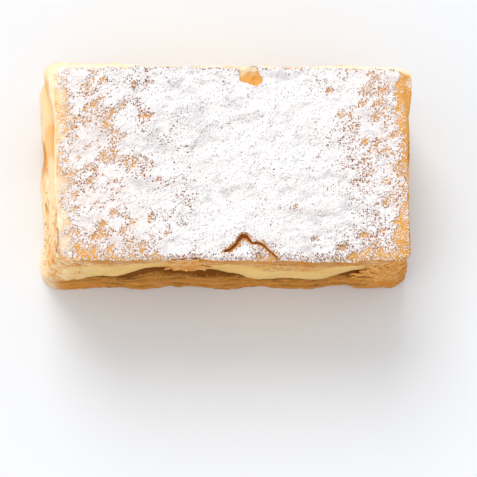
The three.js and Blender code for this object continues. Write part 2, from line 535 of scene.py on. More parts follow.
class SLICE_OT_base_pastry(bpy.types.Operator):
    """Bakes the leaves of the base sheet"""

    bl_idname = "slice.base_pastry"
    bl_label = "Base pastry"

    def execute(self, context):
        settings = context.scene.slice_pastry
        count = settings.base_leaves
        shares = [(number + BASE_LEAF_PLACE) / count for number in range(count)]
        thickest = BASE_OVERLAP * BASE_THICKNESS / count
        half = count // 2
        material = pastry_material("base_pastry", settings, dust=0.22)
        lower = leaf_stack("base_lower_leaves", BASE, shares[:half], 0, settings, thickest)
        upper = leaf_stack("base_upper_leaves", BASE, shares[half:], half, settings, thickest)
        finish_piece(lower, material, "base_pastry", "base_pastry")
        finish_piece(upper, material, "base_pastry", "base_pastry")
        return {"FINISHED"}


# ---------------------------------------------------------------- top sheet

CRUST_STEP = 0.55


def crust_height(x, y):
    """Height of the baked crust, with its blisters, the hollow at the back and the sunken flap."""
    points = places(x, y)
    blisters = rough(points, (0.16, 6.5, 40), (0.13, 2.3, 41), (0.05, 0.9, 42))
    chipped = inside_chip(x, y) + 0.35 * unevenness(points, 1.3, 43)
    hollow = 0.6 * smooth_step(-0.3, 0.3, chipped) + 0.6 * smooth_step(0.0, 2.2, chipped)
    inside, _, _ = distance_in(TOP, x, y - TOP_SLIDE)
    left = smooth_step(-50, -53, x)
    rounded = (0.75 + 0.7 * left) * np.clip(1 - inside / (1.5 + 1.2 * left), 0, 1.2) ** 2
    return top_surface_at(x, y) + blisters - hollow - flap_drop(x, y) - rounded


def crust_tone(x, y):
    """How brown the crust is: pale where it rounds over the left end and the back corners."""
    points = places(x, y)
    wander = 1.6 * unevenness(points, 6, 44)
    pale = smooth_step(-49.2, -52.8, x + 1.3 * wander)
    pale = np.maximum(pale, smooth_step(28.0, 30.6, y + wander) * smooth_step(22, 34, np.abs(x)))
    spots = 0.2 * bell(y, 16, 4) + 0.22 * bell(y, -1, 4)
    tone = 0.58 - pale * (0.36 - spots) + 0.16 * pale * unevenness(points, 2.2, 45)
    broken = smooth_step(-0.4, 0.1, inside_chip(x, y))
    # Painted shade: inside the broken hollow the crust is browner towards its lower right, standing for the
    # shading across the hollow.
    lower_right_shade = smooth_step(-5, 4, (x - 6) - (y - 28))
    tone += broken * (0.24 + 0.3 * lower_right_shade + 0.16 * unevenness(points, 1.4, 46) - tone)
    return np.clip(tone - 0.42 * smooth_step(29.4, 31.0, y), 0, 1)


def inside_chip(x, y):
    """How far points lie inside the broken hollow in the back edge."""
    nearest = np.full(len(x), 1e9)
    for start, end in zip(CHIP_OUTLINE, CHIP_OUTLINE[1:] + CHIP_OUTLINE[:1]):
        run_x, run_y = end[0] - start[0], end[1] - start[1]
        inside = ((y - start[1]) * run_x - (x - start[0]) * run_y) / math.hypot(run_x, run_y)
        nearest = np.minimum(nearest, inside)
    return nearest


def flap_drop(x, y):
    """How far the piece in front of the crack has sunk."""
    crack_y = np.interp(x, [p[0] for p in CRACK_PATH], [p[1] for p in CRACK_PATH])
    return 0.75 * smooth_step(0.2, -0.5, y - crack_y) * (smooth_step(-5, 0, x) * smooth_step(15, 9, x))


def round_corners(layer, x, y):
    """Pulls the corners of a rectangle of points in to the layer's round corners."""
    radius = layer.radius
    a = (np.abs(x) - (layer.length / 2 - radius)) / radius
    b = (np.abs(y) - (layer.width / 2 - radius)) / radius
    corner = (a > 0) & (b > 0)
    a, b = np.where(corner, a, 0), np.where(corner, b, 0)
    pulled_x = layer.length / 2 - radius + radius * a * np.sqrt(1 - b * b / 2)
    pulled_y = layer.width / 2 - radius + radius * b * np.sqrt(1 - a * a / 2)
    return np.where(corner, np.sign(x) * pulled_x, x), np.where(corner, np.sign(y) * pulled_y, y)


def add_top_grid(name, step, shrink):
    """A grid over the top sheet, in its ragged rounded outline. Its points are still flat."""
    length, width = TOP.length * MM, TOP.width * MM
    columns, rows = round(length / step), round(width / step)
    deselect_everything()
    bpy.ops.mesh.primitive_grid_add(x_subdivisions=columns, y_subdivisions=rows, size=1)
    piece = bpy.context.object
    piece.name = name
    edit_mode()
    bpy.ops.transform.resize(value=(length, width, 1))
    object_mode()
    flat = points_of(piece)
    x, y = round_corners(TOP, flat[:, 0], flat[:, 1])
    inside, way_x, way_y = distance_in(TOP, x, y)
    rim = np.clip(1 - inside / 3, 0, 1)
    at_rim = places(x + way_x * inside, y + way_y * inside)
    reach = rough(at_rim, (0.3, 6, 50), (0.25, 2.1, 51))
    reach += 0.14 * unevenness(at_rim, 0.9, 52) - shrink * np.where(np.abs(way_y) > 0.5, 0.2, 1)
    reach -= 1.2 * bell(x, 3.6, 2) * (way_y > 0.5)
    x, y, _ = lay_out(TOP, x, y, 1.0)
    move_points(piece, places(x + way_x * reach * rim, y + way_y * reach * rim))
    return piece


def crack_reach(along):
    """Half the width of the crack from its left end, 0, to its right end, 1."""
    return np.interp(along, np.linspace(0, 1, len(CRACK_REACH)), CRACK_REACH)


def winding_crack():
    """The crack's path in short steps that wind a little to either side."""
    path = []
    for start, end in zip(CRACK_PATH, CRACK_PATH[1:]):
        start, end = np.array(start), np.array(end)
        steps = max(2, round(np.linalg.norm(end - start) / CRACK_STEP))
        path += [start + (end - start) * step / steps for step in range(steps)]
    path = np.array(path + [np.array(CRACK_PATH[-1])])
    points = places(path[:, 0], path[:, 1])
    return path + 0.22 * np.column_stack([unevenness(points, 1.9, 90), unevenness(points, 1.9, 91)])


def add_crack_cutter():
    """A winding wall whose foot lies in the crust: the edge of an upright plane drawn out, and thickened."""
    deselect_everything()
    path = winding_crack() * MM
    middle = (path[0] + path[1]) / 2
    first = path[1] - path[0]
    wall_height, wall_middle = 8 * MM, (SLICE_HEIGHT + 2.8) * MM
    upright = (math.pi / 2, 0, math.atan2(first[1], first[0]))
    bpy.ops.mesh.primitive_plane_add(size=1, location=(*middle, wall_middle), rotation=upright)
    cutter = bpy.context.object
    cutter.name = "crack_cutter"
    bpy.ops.transform.resize(value=(np.linalg.norm(first), wall_height, 1), orient_type="LOCAL")
    bpy.ops.object.transform_apply(location=True, rotation=True, scale=True)
    far = np.linalg.norm(points_of(cutter)[:, :2] - path[1] / MM, axis=1) < 0.01
    mesh = cutter.data
    mesh.polygons.foreach_set("select", [False] * len(mesh.polygons))
    mesh.vertices.foreach_set("select", far)
    mesh.edges.foreach_set("select", [all(far[i] for i in edge.vertices) for edge in mesh.edges])
    edit_mode()
    bpy.ops.mesh.select_mode(type="EDGE")
    for start, end in zip(path[1:], path[2:]):
        bpy.ops.mesh.extrude_edges_move(TRANSFORM_OT_translate={"value": (*(end - start), 0)})
    object_mode()
    foot = points_of(cutter)
    _, along = distance_to_crack(foot[:, 0], foot[:, 1])
    widest = max(CRACK_REACH)
    store_weights(cutter, "width", crack_reach(along) / widest)
    apply_modifier(cutter, "SOLIDIFY", thickness=1.8 * widest * MM, offset=0, vertex_group="width")
    apply_modifier(cutter, "REMESH", mode="VOXEL", voxel_size=CRACK_VOXEL * MM)
    return cutter


class SLICE_OT_top_pastry(bpy.types.Operator):
    """Bakes the leaves and the crust of the top sheet"""

    bl_idname = "slice.top_pastry"
    bl_label = "Top pastry"

    def execute(self, context):
        settings = context.scene.slice_pastry
        count = settings.top_leaves
        shares = [TOP_LEAVES_SHARE * (number + TOP_LEAF_PLACE) / count for number in range(count)]
        thickest = TOP_OVERLAP * TOP_LEAVES_SHARE * TOP_THICKNESS / count
        leaves = leaf_stack("top_leaves", TOP, shares, TOP_SEED, settings, thickest)
        finish_piece(leaves, pastry_material("top_leaves", settings, dust=0.1), "top_pastry", "top_pastry")

        crust = add_top_grid("top_crust", CRUST_STEP * MM, 0.0)
        points = points_of(crust)
        points[:, 2] = crust_height(points[:, 0], points[:, 1])
        move_points(crust, points)
        apply_modifier(crust, "SOLIDIFY", thickness=settings.crust_thickness, offset=-1)
        cutter = add_crack_cutter()
        apply_modifier(crust, "BOOLEAN", object=cutter, operation="DIFFERENCE", solver="EXACT")
        remove(cutter)
        x, y, z = points_of(crust).T
        crack, _ = distance_to_crack(x, y)
        buried = (crack < 1.4) & (z < crust_height(x, y) - 0.2)
        # Painted shade: the crust inside the crack is fully browned, partly standing for the shade in the
        # groove.
        store_values(crust, "tone", np.where(buried, 1, crust_tone(x, y)))
        in_chip = smooth_step(-0.6, -0.1, inside_chip(x, y))
        store_values(crust, "dusting", np.where(buried, 0, 0.45 - 0.4 * in_chip))
        finish_piece(crust, crust_material(settings, context.scene.slice_sugar), "top_pastry", "top_pastry")
        return {"FINISHED"}


# ---------------------------------------------------------------- cream

BUBBLE_SEED = 7
BUBBLE_RADII = (0.5, 1.3)


class SLICE_OT_custard_cream(bpy.types.Operator):
    """Spreads the custard cream between the sheets"""

    bl_idname = "slice.custard_cream"
    bl_label = "Custard cream"

    def execute(self, context):
        settings = context.scene.slice_cream
        cream = add_outline("custard_cream_body", CREAM, settings.step)
        rows = round((SLICE_HEIGHT - TOP_THICKNESS - BASE_THICKNESS) * MM / settings.step)
        edit_mode()
        for _ in range(rows):
            bpy.ops.mesh.extrude_region_move(TRANSFORM_OT_translate={"value": (0, 0, 1 / rows)})
        bpy.ops.mesh.select_all(action="SELECT")
        bpy.ops.mesh.normals_make_consistent(inside=False)
        object_mode()
        self.shape(cream, settings)
        finish_piece(cream, cream_material(settings), "custard_cream", "custard_cream")
        return {"FINISHED"}

    def shape(self, cream, settings):
        """Lays a block as high as its share of the layer out between the sheets, rippled and pitted."""
        flat = points_of(cream)
        share = flat[:, 2] * MM
        _, way_x, way_y = distance_in(CREAM, flat[:, 0], flat[:, 1])
        place = places(*lay_out(CREAM, flat[:, 0], flat[:, 1], share))
        ripple = rough(place, (0.9, (9, 9, 2.6), 60), (0.5, (3, 3, 1.2), 61))
        ripple += rough(place, (1.3, 7, 62), (0.18, 0.9, 63))
        out = settings.ripple / MM * ripple - self.bubbles_at(place, settings)
        place[:, 0] += way_x * out
        place[:, 1] += way_y * out
        move_points(cream, place)
        store_values(cream, "share", share)

    def bubbles_at(self, place, settings):
        """Depth of the opened bubbles, scattered over the cut sides."""
        random = np.random.default_rng(BUBBLE_SEED)
        depth = np.zeros(len(place))
        for _ in range(settings.bubbles):
            centre = place[random.integers(len(place))]
            radius = random.uniform(*BUBBLE_RADII)
            distance = np.linalg.norm((place - centre) * (1, 1, 1.25), axis=1)
            depth = np.maximum(depth, 0.5 * radius * smooth_step(radius, 0.35 * radius, distance))
        return depth


# ---------------------------------------------------------------- icing sugar

# The streaks of the sugar run up to the right by this angle.
STREAK_ANGLE = math.radians(34)
# Distance between the gaps in the sugar, the seed of their places, and the area they are strewn over.
GAP_PITCH = 0.95
GAP_SEED = 5
GAP_LENGTH, GAP_WIDTH = 140, 90
# How far the blanket's rim hangs down into the crust, and the flat underside that closes it: its height, and
# its length and width as a share of the blanket's.
RIM_HANG = 1.0
UNDERSIDE_HEIGHT = 35.2
UNDERSIDE_SHARE = 0.93
# Places are tried for this many times as many grains as are wanted, within these bounds.
GRAIN_TRIES = 4
GRAIN_BOUNDS_X = (-54.6, 55.4)
GRAIN_BOUNDS_Y = (-30.9, 31.5)
GRAIN_SEED = 11
GRAIN_RADII = (0.11, 0.23)
# How much a strewn grain is squashed along each axis, and how far each of its corners stands in or out.
SQUASH = (0.6, 1.3)
CORNER_OUT = (0.75, 1.2)


def slanted(x, y):
    """Turns points so that the first axis runs along the streaks of the sugar."""
    cos, sin = math.cos(STREAK_ANGLE), math.sin(STREAK_ANGLE)
    return x * cos + y * sin, -x * sin + y * cos


def nearest_gap(x, y, reach):
    """Distance to the nearest gap between clumps, less that gap's own radius."""
    random = np.random.default_rng(GAP_SEED)
    columns, rows = int(GAP_LENGTH / GAP_PITCH), int(GAP_WIDTH / GAP_PITCH)
    place = random.uniform(0.05, 0.95, (columns, rows, 2))
    size = random.uniform(0.25, 1.45, (columns, rows))
    across, up = (x + GAP_LENGTH / 2) / GAP_PITCH, (y + GAP_WIDTH / 2) / GAP_PITCH
    column, row = across.astype(int), up.astype(int)
    nearest = np.full(len(x), 1e9)
    for i in (-1, 0, 1):
        for j in (-1, 0, 1):
            cell = (np.clip(column + i, 0, columns - 1), np.clip(row + j, 0, rows - 1))
            gap_x = (cell[0] + place[cell][:, 0] - across) * GAP_PITCH
            gap_y = (cell[1] + place[cell][:, 1] - up) * GAP_PITCH
            nearest = np.minimum(nearest, np.hypot(gap_x, gap_y) - size[cell] * reach)
    return nearest


def thin_ends(x, y):
    """0 where the sugar lies thick across the middle, 1 towards the ends."""
    return 1 - smooth_step(45, 16, np.abs(x - 6 + 0.28 * y))


def bare_share(x, y):
    """Share of the crust that shows through the sugar."""
    points = places(x, y)
    along, across = slanted(x, y)
    ends = thin_ends(x, y)
    patchy = unevenness(points, 5.0, 74, octaves=3)
    streaky = unevenness(places(along / 2.4, across), 1.9, 76)
    share = 0.04 + 0.06 * ends + 0.04 * smooth_step(32, 44, x)
    share += (0.06 + 0.72 * ends) * np.maximum(patchy - 0.02, -0.09)
    share += (0.05 + 0.22 * ends) * np.maximum(streaky, -0.28)
    for bare_x, bare_y, reach in BARE_PLACES:
        bare_along, bare_across = slanted(bare_x, bare_y)
        distance = np.hypot((along - bare_along) / 1.5, across - bare_across)
        share += (0.7 + 0.12 * reach) * bell(distance, 0, 0.72 * reach)

    wander = rough(points, (1.3, 4.2, 77), (0.6, 1.6, 78))
    share += 0.95 * smooth_step(-51.0, -56.0, x + 1.7 * wander)
    share += 0.8 * smooth_step(50.6, 54.8, x + 1.7 * wander)
    share += 0.75 * smooth_step(-28.2, -30.8, y + 0.8 * wander) * (0.5 + 0.5 * ends)
    share += 0.95 * smooth_step(29.6, 31.4, y + 0.7 * wander)
    corner = smooth_step(24, 44, x) * smooth_step(-18, -29, y)
    flap = smooth_step(4, 7, x) * smooth_step(14, 11, x) * smooth_step(-25.5, -27, y)
    return share + 0.26 * corner + 0.5 * flap


def sugar_depth(x, y, settings):
    """Depth of the sugar over the crust. Below nought the crust shows."""
    points = places(x, y)
    along, across = slanted(x, y)
    streaks = places(along / 2.2, across)
    middle = 1 - thin_ends(x, y)
    share = np.clip(bare_share(x, y), 0.005, 1)

    thick = settings.depth / MM
    drift = rough(streaks, (0.75, 3.6, 70), (0.5, 1.5, 71))
    lumps = rough(points, (0.7, 1.25, 72), (0.6, 0.6, 73))
    body = thick * (0.3 + 0.7 * middle) + (0.09 + 0.3 * middle) * drift + (0.15 - 0.02 * middle) * lumps
    body += 0.45 * middle * unevenness(streaks, 8.5, 69)

    bent_x = x + 0.22 * unevenness(points, 0.9, 79)
    bent_y = y + 0.22 * unevenness(points, 0.9, 80)
    gap = nearest_gap(bent_x, bent_y, 0.8 * np.sqrt(share / math.pi))
    hole = smooth_step(0.14, -0.16, gap)
    depth = body - hole * (body * (1 - 0.3 * middle) + 0.12)
    depth -= (body + 0.14) * smooth_step(0.62, 0.95, share + 0.18 * lumps)

    crack, run = distance_to_crack(bent_x, bent_y)
    valley = crack_reach(run) + 0.14 * lumps
    depth -= 2.4 * smooth_step(valley + 0.25, valley, crack)
    depth -= 3 * smooth_step(-0.5, -0.1, inside_chip(bent_x, bent_y) + 0.12 * lumps)
    in_crack = smooth_step(valley + 0.05, valley - 0.2, crack)
    broken = np.maximum(in_crack, smooth_step(-0.1, 0.3, inside_chip(x, y)))
    return np.clip(depth, -0.18 - 1.1 * broken, 3)


class SLICE_OT_icing_sugar(bpy.types.Operator):
    """Dusts the blanket of icing sugar over the crust"""

    bl_idname = "slice.icing_sugar"
    bl_label = "Icing sugar"

    def execute(self, context):
        settings = context.scene.slice_sugar
        blanket = add_top_grid("sugar_blanket", settings.step, 0.25)
        points = points_of(blanket)
        x, y = points[:, 0], points[:, 1]
        depth = sugar_depth(x, y, settings)
        points[:, 2] = crust_height(x, y) + depth
        move_points(blanket, points)
        store_values(blanket, "depth", depth)
        store_values(blanket, "tone", crust_tone(x, y))
        crack, _ = distance_to_crack(x, y)
        broken = np.maximum(smooth_step(1.6, 0.9, crack), smooth_step(-0.6, -0.1, inside_chip(x, y)))
        store_values(blanket, "bare", np.clip(np.maximum(bare_share(x, y), broken), 0, 1))
        self.close(blanket)
        finish_piece(blanket, sugar_material(settings, context.scene.slice_pastry), "icing_sugar")
        return {"FINISHED"}

    def close(self, blanket):
        """Draws the blanket's rim down into the crust and closes it underneath."""
        make_active(blanket)
        edit_mode()
        bpy.ops.mesh.select_all(action="DESELECT")
        bpy.ops.mesh.select_mode(type="EDGE")
        bpy.ops.mesh.select_non_manifold()
        for drop in (RIM_HANG, 0.1):
            bpy.ops.mesh.extrude_region_move(TRANSFORM_OT_translate={"value": (0, 0, -drop * MM)})
        flatten = (UNDERSIDE_SHARE, UNDERSIDE_SHARE, 0)
        bpy.ops.transform.resize(value=flatten, center_override=(0, 0, UNDERSIDE_HEIGHT * MM))
        bpy.ops.mesh.edge_face_add()
        bpy.ops.mesh.select_all(action="SELECT")
        bpy.ops.mesh.normals_make_consistent(inside=False)
        object_mode()


def strew(name, middles, sizes, random):
    """One grain is modelled and copied to every place, each copy turned and squashed in its own way."""
    deselect_everything()
    bpy.ops.mesh.primitive_ico_sphere_add(subdivisions=1, radius=1)
    piece = bpy.context.object
    piece.name = name
    shape = np.array([vertex.co for vertex in piece.data.vertices])
    corners = np.array([face.vertices for face in piece.data.polygons])
    count = len(middles)
    squash = random.uniform(*SQUASH, (count, 1, 3))
    turn = random.uniform(0, 2 * math.pi, count)[:, None]
    points = shape[None] * squash * random.uniform(*CORNER_OUT, (count, len(shape), 1))
    turned_x = points[..., 0] * np.cos(turn) - points[..., 1] * np.sin(turn)
    turned_y = points[..., 0] * np.sin(turn) + points[..., 1] * np.cos(turn)
    points = middles[:, None] + np.stack([turned_x, turned_y, points[..., 2]], 2) * sizes[:, None, None]
    faces = corners[None] + (np.arange(count) * len(shape))[:, None, None]
    single = piece.data
    piece.data = bpy.data.meshes.new(name)
    piece.data.from_pydata((points.reshape(-1, 3) * MM).tolist(), [], faces.reshape(-1, 3).tolist())
    bpy.data.meshes.remove(single)
    return piece


class SLICE_OT_sugar_grains(bpy.types.Operator):
    """Strews loose grains and clumps over the sugar and the bare crust"""

    bl_idname = "slice.sugar_grains"
    bl_label = "Sugar grains"

    def execute(self, context):
        settings = context.scene.slice_sugar
        random = np.random.default_rng(GRAIN_SEED)
        tries = settings.grains * GRAIN_TRIES
        x = random.uniform(*GRAIN_BOUNDS_X, tries)
        y = random.uniform(*GRAIN_BOUNDS_Y, tries)
        swept = np.maximum(smooth_step(50, 53, x), 0.6 * smooth_step(-27.5, -30, y))
        likely = 0.08 + 0.2 * thin_ends(x, y) + 1.2 * bare_share(x, y)
        kept = random.uniform(0, 1, tries) < likely * (1 - 0.7 * swept)
        crack, _ = distance_to_crack(x, y)
        inside, _, _ = distance_in(TOP, x, y)
        kept &= (inside_chip(x, y) < -0.3) & (crack > 0.9) & (inside > 0.5)
        x, y = x[kept][: settings.grains], y[kept][: settings.grains]
        size = random.uniform(*GRAIN_RADII, len(x)) * (1 + 0.5 * random.uniform(0, 1, len(x)) ** 6)
        z = crust_height(x, y) + np.maximum(sugar_depth(x, y, settings), 0) + 0.35 * size
        grains = strew("sugar_grains", places(x, y, z), size, random)
        finish_piece(grains, grain_material(settings), "icing_sugar")
        return {"FINISHED"}


# ---------------------------------------------------------------- loose flakes and crumbs

# Heaps of flakes against the sides. The middle is measured round the rim from the middle of the front.
# Nearly all the flakes lie within the spread to either side of it. They stand proud of the side by one amount
# at the foot and by another at the top. The heap narrows upwards by a share, and its tone is how brown it is.
Heap = namedtuple("Heap", "middle spread low high flakes proud_low proud_high narrowing tone")
FLAKE_HEAPS = (
    Heap(-14.6, 6.6, 24, 36.8, 90, 0.45, 0, 0.6, 0.38),
    Heap(-54, 8, 11, 32, 190, 0.5, 0.4, 0.2, 0.25),
    Heap(-56, 9.5, 30, 36.4, 80, 0.3, -0.15, 0, 0.2),
    Heap(-66, 7.5, 11, 31, 60, 0.5, 0.4, 0, 0.2),
    Heap(50.5, 7.5, 3, 35, 220, 0.3, -0.1, 0.1, 0.45),
    Heap(-84, 14, 9, 31, 44, 0.1, 0.1, 0, 0.16),
    Heap(-97, 7, 9, 30, 46, 0.1, -0.2, 0, 0.46),
)
# Cells along and across a flake, its thickness, and half its length and width at least and at most.
FLAKE_CELLS = (7, 5)
FLAKE_THICKNESS = 0.28
FLAKE_LONG = (1.1, 2.9)
FLAKE_WIDE = (0.4, 1.1)
FLAKE_SEED = 3
CRUMBS_PER_FLAKE = 5
CRUMB_RADII = (0.1, 0.28)
CRUMB_SEED = 19
# Crumbs on the ledge of the base, how far round the rim they go, and about how high the ledge is.
LEDGE_CRUMBS = 260
LEDGE_REACH = 84
LEDGE_HEIGHT = 12.0
# The sides that the flakes lie against: their outline at the base, and how far they stand back above it.
SIDE_LENGTH, SIDE_WIDTH, SIDE_RADIUS = 114.6, 62.4, 4.2
SIDE_STEP_LENGTH, SIDE_STEP_WIDTH = 1.9, 0.5


def on_side(run, height):
    """Points of the slice's sides and the way out. The run goes round the rim from the front's middle."""
    above = smooth_step(6, 20, height)
    half_length = SIDE_LENGTH / 2 - SIDE_STEP_LENGTH * above
    half_width = SIDE_WIDTH / 2 - SIDE_STEP_WIDTH * above
    along = np.abs(run)
    straight = half_length - SIDE_RADIUS
    angle = np.clip((along - straight) / SIDE_RADIUS, 0, math.pi / 2)
    past = np.maximum(along - straight - SIDE_RADIUS * math.pi / 2, 0)
    x = np.minimum(along, straight) + SIDE_RADIUS * np.sin(angle)
    y = -half_width + SIDE_RADIUS * (1 - np.cos(angle)) + past
    return x * np.sign(run), y, np.sin(angle) * np.sign(run), -np.cos(angle)


def places_in_heap(heap, count, random):
    """Runs, heights and how proud: as many places as asked for, strewn over a heap."""
    up = random.uniform(0, 1, count)
    swerve = np.clip(random.normal(0, 1, count), -2.6, 2.6)
    run = heap.middle + 0.5 * heap.spread * swerve * (1 - heap.narrowing * up)
    height = heap.low + (heap.high - heap.low) * up
    return run, height, heap.proud_low + (heap.proud_high - heap.proud_low) * up


class SLICE_OT_pastry_flakes(bpy.types.Operator):
    """Adds the broken flakes that cling to the corners, the front and the left end"""

    bl_idname = "slice.pastry_flakes"
    bl_label = "Pastry flakes"

    def execute(self, context):
        settings = context.scene.slice_pastry
        random = np.random.default_rng(FLAKE_SEED)
        deselect_everything()
        bpy.ops.mesh.primitive_grid_add(x_subdivisions=FLAKE_CELLS[0], y_subdivisions=FLAKE_CELLS[1], size=2)
        template = bpy.context.object
        x, y, _ = points_of(template).T * MM
        angle = np.arctan2(y, x)
        round_in = np.maximum(np.abs(x), np.abs(y)) / np.maximum(np.hypot(x, y), 1e-6)
        disc = np.stack([x, y], 1) * (0.35 + 0.65 * round_in)[:, None]
        flakes = []
        for heap in FLAKE_HEAPS:
            for place in zip(*places_in_heap(heap, heap.flakes, random)):
                flake = copy_of(template, f"flake_{len(flakes)}")
                self.shape(flake, disc, angle, *place, heap.tone, random)
                flakes.append(flake)
        remove(template)
        piece = join(flakes, "pastry_flakes")
        apply_modifier(piece, "SOLIDIFY", thickness=FLAKE_THICKNESS * MM, offset=0)
        finish_piece(piece, pastry_material("pastry_flakes", settings, dust=0.32), "top_pastry")
        return {"FINISHED"}

    def shape(self, flake, disc, angle, run, height, proud, tone, random):
        """Tears a disc to a flake, bends it round the side at its place and gives it its tone."""
        long, wide = random.uniform(*FLAKE_LONG), random.uniform(*FLAKE_WIDE)
        turn = random.normal(0, 0.3)
        tilt_run, tilt_up = random.normal(0, 0.12), random.normal(-0.1, 0.12)
        curl = random.uniform(-0.04, 0.07)
        seed = random.uniform(0, 100)
        edge = np.hypot(disc[:, 0], disc[:, 1])
        torn = places(1.4 * np.cos(angle), 1.4 * np.sin(angle), seed)
        stretch = 1 + edge * rough(torn, (0.34, 1, 0), (0.2, 0.35, 0))
        a, b = disc[:, 0] * long * stretch, disc[:, 1] * wide * stretch
        runs = run + a * math.cos(turn) - b * math.sin(turn)
        heights = np.clip(height + a * math.sin(turn) + b * math.cos(turn), 0.6, 37.2)
        x, y, way_x, way_y = on_side(runs, heights)
        points = places(runs, heights, seed)
        out = proud + tilt_run * (runs - run) + tilt_up * (heights - height) + curl * (a * a + b * b) / 3
        out += rough(points, (0.3, 2.2, 97), (0.14, 0.8, 98))
        out = np.clip(out, -1.2, 2.6)
        move_points(flake, places(x + way_x * out, y + way_y * out, heights))
        shade = tone + random.normal(0, 0.07) + 0.12 * unevenness(points, 1.6, 99) + 0.06 * edge**3
        store_values(flake, "tone", np.clip(shade, 0, 1))


class SLICE_OT_pastry_crumbs(bpy.types.Operator):
    """Strews fine crumbs among the flakes and along the ledge of the base"""

    bl_idname = "slice.pastry_crumbs"
    bl_label = "Pastry crumbs"

    def execute(self, context):
        settings = context.scene.slice_pastry
        random = np.random.default_rng(CRUMB_SEED)
        strewn = []
        for heap in FLAKE_HEAPS:
            run, height, proud = places_in_heap(heap, CRUMBS_PER_FLAKE * heap.flakes, random)
            out = proud + random.uniform(-0.6, 0.4, len(run))
            strewn.append((run, height, out, heap.tone + random.normal(0, 0.05, len(run))))
        ledge = random.uniform(-LEDGE_REACH, LEDGE_REACH, LEDGE_CRUMBS)
        x, y, _, _ = on_side(ledge, LEDGE_HEIGHT)
        height = base_top_at(x, y) + random.uniform(-0.6, 0.5, LEDGE_CRUMBS)
        out = random.uniform(-0.4, 0.9, LEDGE_CRUMBS)
        strewn.append((ledge, height, out, random.uniform(0.5, 0.9, LEDGE_CRUMBS)))
        runs, heights, outs, tones = (np.concatenate(values) for values in zip(*strewn))
        x, y, way_x, way_y = on_side(runs, heights)
        size = random.uniform(*CRUMB_RADII, len(x))
        crumbs = strew("pastry_crumbs", places(x + way_x * outs, y + way_y * outs, heights), size, random)
        points_each = len(crumbs.data.vertices) // len(x)
        store_values(crumbs, "tone", np.clip(np.repeat(tones, points_each), 0, 1))
        finish_piece(crumbs, pastry_material("pastry_crumbs", settings, dust=0.2), "base_pastry")
        return {"FINISHED"}


# ---------------------------------------------------------------- shader nodes


def feed(socket, value):
    """Links a socket to another one, or sets its value. A colour is made opaque."""
    if isinstance(value, bpy.types.NodeSocket):
        socket.id_data.links.new(value, socket)
    else:
        socket.default_value = (*value, 1.0) if socket.type == "RGBA" else value


def add_node(tree, kind, **inputs):
    """A node with its inputs fed by name."""
    node = tree.nodes.new(kind)
    for name, value in inputs.items():
        feed(node.inputs[name.replace("_", " ")], value)
    return node


def add_math(operation, *values, clamp=False):
    """The result of a Math node on numbers and sockets. At least one is a socket."""
    tree = next(value.id_data for value in values if isinstance(value, bpy.types.NodeSocket))
    node = tree.nodes.new("ShaderNodeMath")
    node.operation = operation
    node.use_clamp = clamp
    for socket, value in zip(node.inputs, values):
        feed(socket, value)
    return node.outputs[0]


def plus(first, second):
    return add_math("ADD", first, second)


def minus(first, second):
    return add_math("SUBTRACT", first, second)


def times(first, second):
    return add_math("MULTIPLY", first, second)


def add_mix(share, first, second):
    """Mixes two colours."""
    node = share.id_data.nodes.new("ShaderNodeMix")
    node.data_type = "RGBA"
    for socket, value in zip((node.inputs[0], node.inputs[6], node.inputs[7]), (share, first, second)):
        feed(socket, value)
    return node.outputs[2]


def add_noise(place, size, detail=2.0, roughness=0.5):
    """Noise whose features are about the given size in metres."""
    noises = {"Vector": place, "Scale": 1 / size, "Detail": detail, "Roughness": roughness}
    return add_node(place.id_data, "ShaderNodeTexNoise", **noises).outputs["Fac"]


def add_range(value, low, high, new_low=0.0, new_high=1.0):
    """Turns a range of a value smoothly into another range."""
    ends = {"From Min": low, "From Max": high, "To Min": new_low, "To Max": new_high}
    node = add_node(value.id_data, "ShaderNodeMapRange", Value=value, **ends)
    node.interpolation_type = "SMOOTHSTEP"
    return node.outputs["Result"]


def attribute_value(place, name):
    """A piece's own attribute, in the tree that the place is in."""
    node = place.id_data.nodes.new("ShaderNodeAttribute")
    node.attribute_name = name
    return node.outputs["Fac"]


def tint(colour, *shares):
    return tuple(channel * share for channel, share in zip(colour, shares))


def new_material(name):
    """A material, its shader and the place that its nodes read."""
    material = bpy.data.materials.new(name)
    material.use_nodes = True
    nodes = material.node_tree.nodes
    return material, nodes["Principled BSDF"].inputs, nodes.new("ShaderNodeTexCoord").outputs["Object"]


def connect(shader, colour, roughness, reflection, height=None, relief=0.0):
    """Feeds a shader its colour, roughness and reflection, and a bump with a relief in metres."""
    feed(shader["Base Color"], colour)
    feed(shader["Roughness"], roughness)
    feed(shader["Specular IOR Level"], reflection)
    if height:
        bump = add_node(height.id_data, "ShaderNodeBump", Height=height, Strength=1.0, Distance=relief)
        feed(shader["Normal"], bump.outputs["Normal"])


# ---------------------------------------------------------------- node groups


def browning(given, made):
    """Baked colour: pale, golden and browned by a tone from 0 to 1, broken up by noise."""
    broad = add_noise(given["Place"], 7 * MM, 3.0)
    fine = add_noise(given["Place"], 1.1 * MM, 4.0, 0.65)
    swing = minus(plus(times(broad, 0.6), times(fine, 0.4)), 0.5)
    tone = add_math("ADD", given["Tone"], times(swing, given["Unevenness"]), clamp=True)
    golden = add_mix(add_range(tone, 0.0, 0.5), given["Pale"], given["Golden"])
    feed(made["Colour"], add_mix(add_range(tone, 0.5, 1.0), golden, given["Browned"]))
    feed(made["Tone"], tone)


